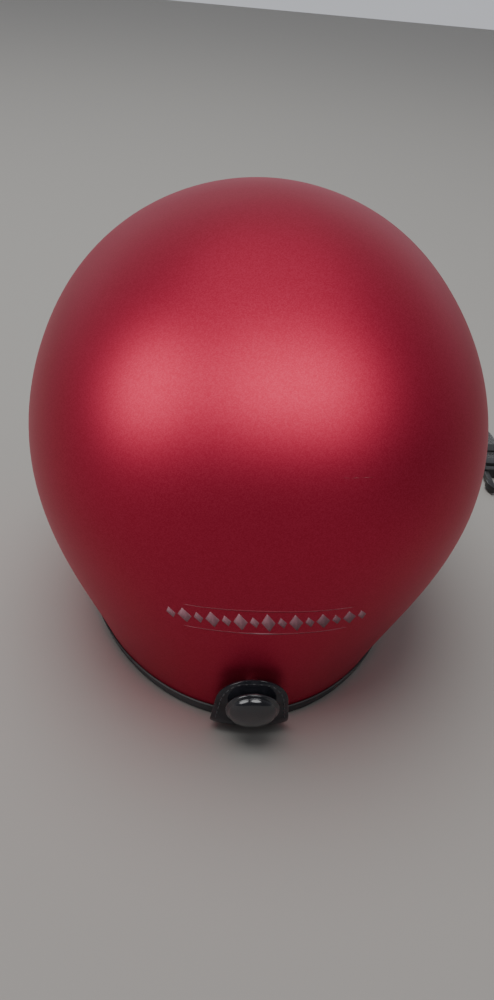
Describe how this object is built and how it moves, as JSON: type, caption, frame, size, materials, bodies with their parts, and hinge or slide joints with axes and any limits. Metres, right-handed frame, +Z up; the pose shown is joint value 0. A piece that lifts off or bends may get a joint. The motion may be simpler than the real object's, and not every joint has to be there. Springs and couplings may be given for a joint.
{
  "type": "open-face helmet",
  "caption": "Egg-shaped open-face helmet with a press-stud peak, padded lining, rear goggle-strap keeper and a chin strap with a side-release buckle.",
  "frame": {"origin": "on the ground under the edge trim, midway between the peak's brim and the keeper's cap", "axes": "+Z up; -Y towards the face opening; +X towards the wearer's left"},
  "size_m": [0.3196, 0.3106, 0.219],
  "materials": {
    "shell_paint": "satin metallic candy red lacquer on moulded plastic",
    "rubber": "matte black edge rubber",
    "foam": "black expanded foam",
    "lining": "soft brushed knit over foam",
    "leatherette": "grained black synthetic leather",
    "patent": "high-gloss black",
    "peak_plastic": "satin black moulded plastic",
    "webbing": "woven black webbing",
    "steel": "nickel-plated steel"
  },
  "bodies": {
    "helmet": {"outer_shell": "shell_paint", "edge_trim": "rubber", "foam_liner": "foam", "crown_pad": "lining", "brow_pad": "lining", "rear_pad": "lining", "neck_roll": "leatherette", "brow_binding": "leatherette", "temple_pad_left": "lining", "temple_pad_right": "lining", "ear_pad_left": "lining", "ear_pad_right": "lining", "peak_stud_left": "steel", "peak_stud_centre": "steel", "peak_stud_right": "steel", "peak_stud_back_left": "steel", "peak_stud_back_centre": "steel", "peak_stud_back_right": "steel", "keeper_stud": "steel", "keeper_stud_back": "steel", "keeper_foot": "patent", "keeper_rivet": "steel", "anchor_rivet_left": "peak_plastic", "anchor_rivet_right": "peak_plastic", "anchor_plate_left": "steel", "anchor_plate_right": "steel", "chin_strap_left": "webbing", "chin_strap_right": "webbing", "chin_pad": "lining", "buckle_plug": "peak_plastic", "buckle_socket": "peak_plastic"},
    "peak": {"peak": "peak_plastic", "peak_snap_left": "peak_plastic", "peak_snap_centre": "peak_plastic", "peak_snap_right": "peak_plastic"},
    "keeper": {"keeper_tab": "patent", "keeper_cap": "patent"},
    "prong_left": {"buckle_prong_left": "peak_plastic"},
    "prong_right": {"buckle_prong_right": "peak_plastic"},
    "strap_loop": {"strap_loop": "rubber"}
  },
  "joints": [
    {"name": "peak_pull", "type": "slide", "parent": "helmet", "child": "peak", "axis": [0, -0.9272, 0.3746], "range_m": [0, 0.05]},
    {"name": "keeper_open", "type": "hinge", "parent": "helmet", "child": "keeper", "pos_m": [0, 0.14234, 0.0038], "axis": [-1, 0, 0], "range_deg": [0, 70]},
    {"name": "prong_left_flex", "type": "hinge", "parent": "helmet", "child": "prong_left", "pos_m": [-0.1808, -0.07436, 0.0041], "axis": [0, 0, 1], "range_deg": [0, 8], "stiffness_Nm_per_rad": 0.2},
    {"name": "prong_right_flex", "type": "hinge", "parent": "helmet", "child": "prong_right", "pos_m": [-0.2032, -0.07436, 0.0041], "axis": [0, 0, -1], "range_deg": [0, 8], "stiffness_Nm_per_rad": 0.2},
    {"name": "loop_slide", "type": "slide", "parent": "helmet", "child": "strap_loop", "axis": [0, 1, 0], "range_m": [-0.006, 0.009]}
  ]
}
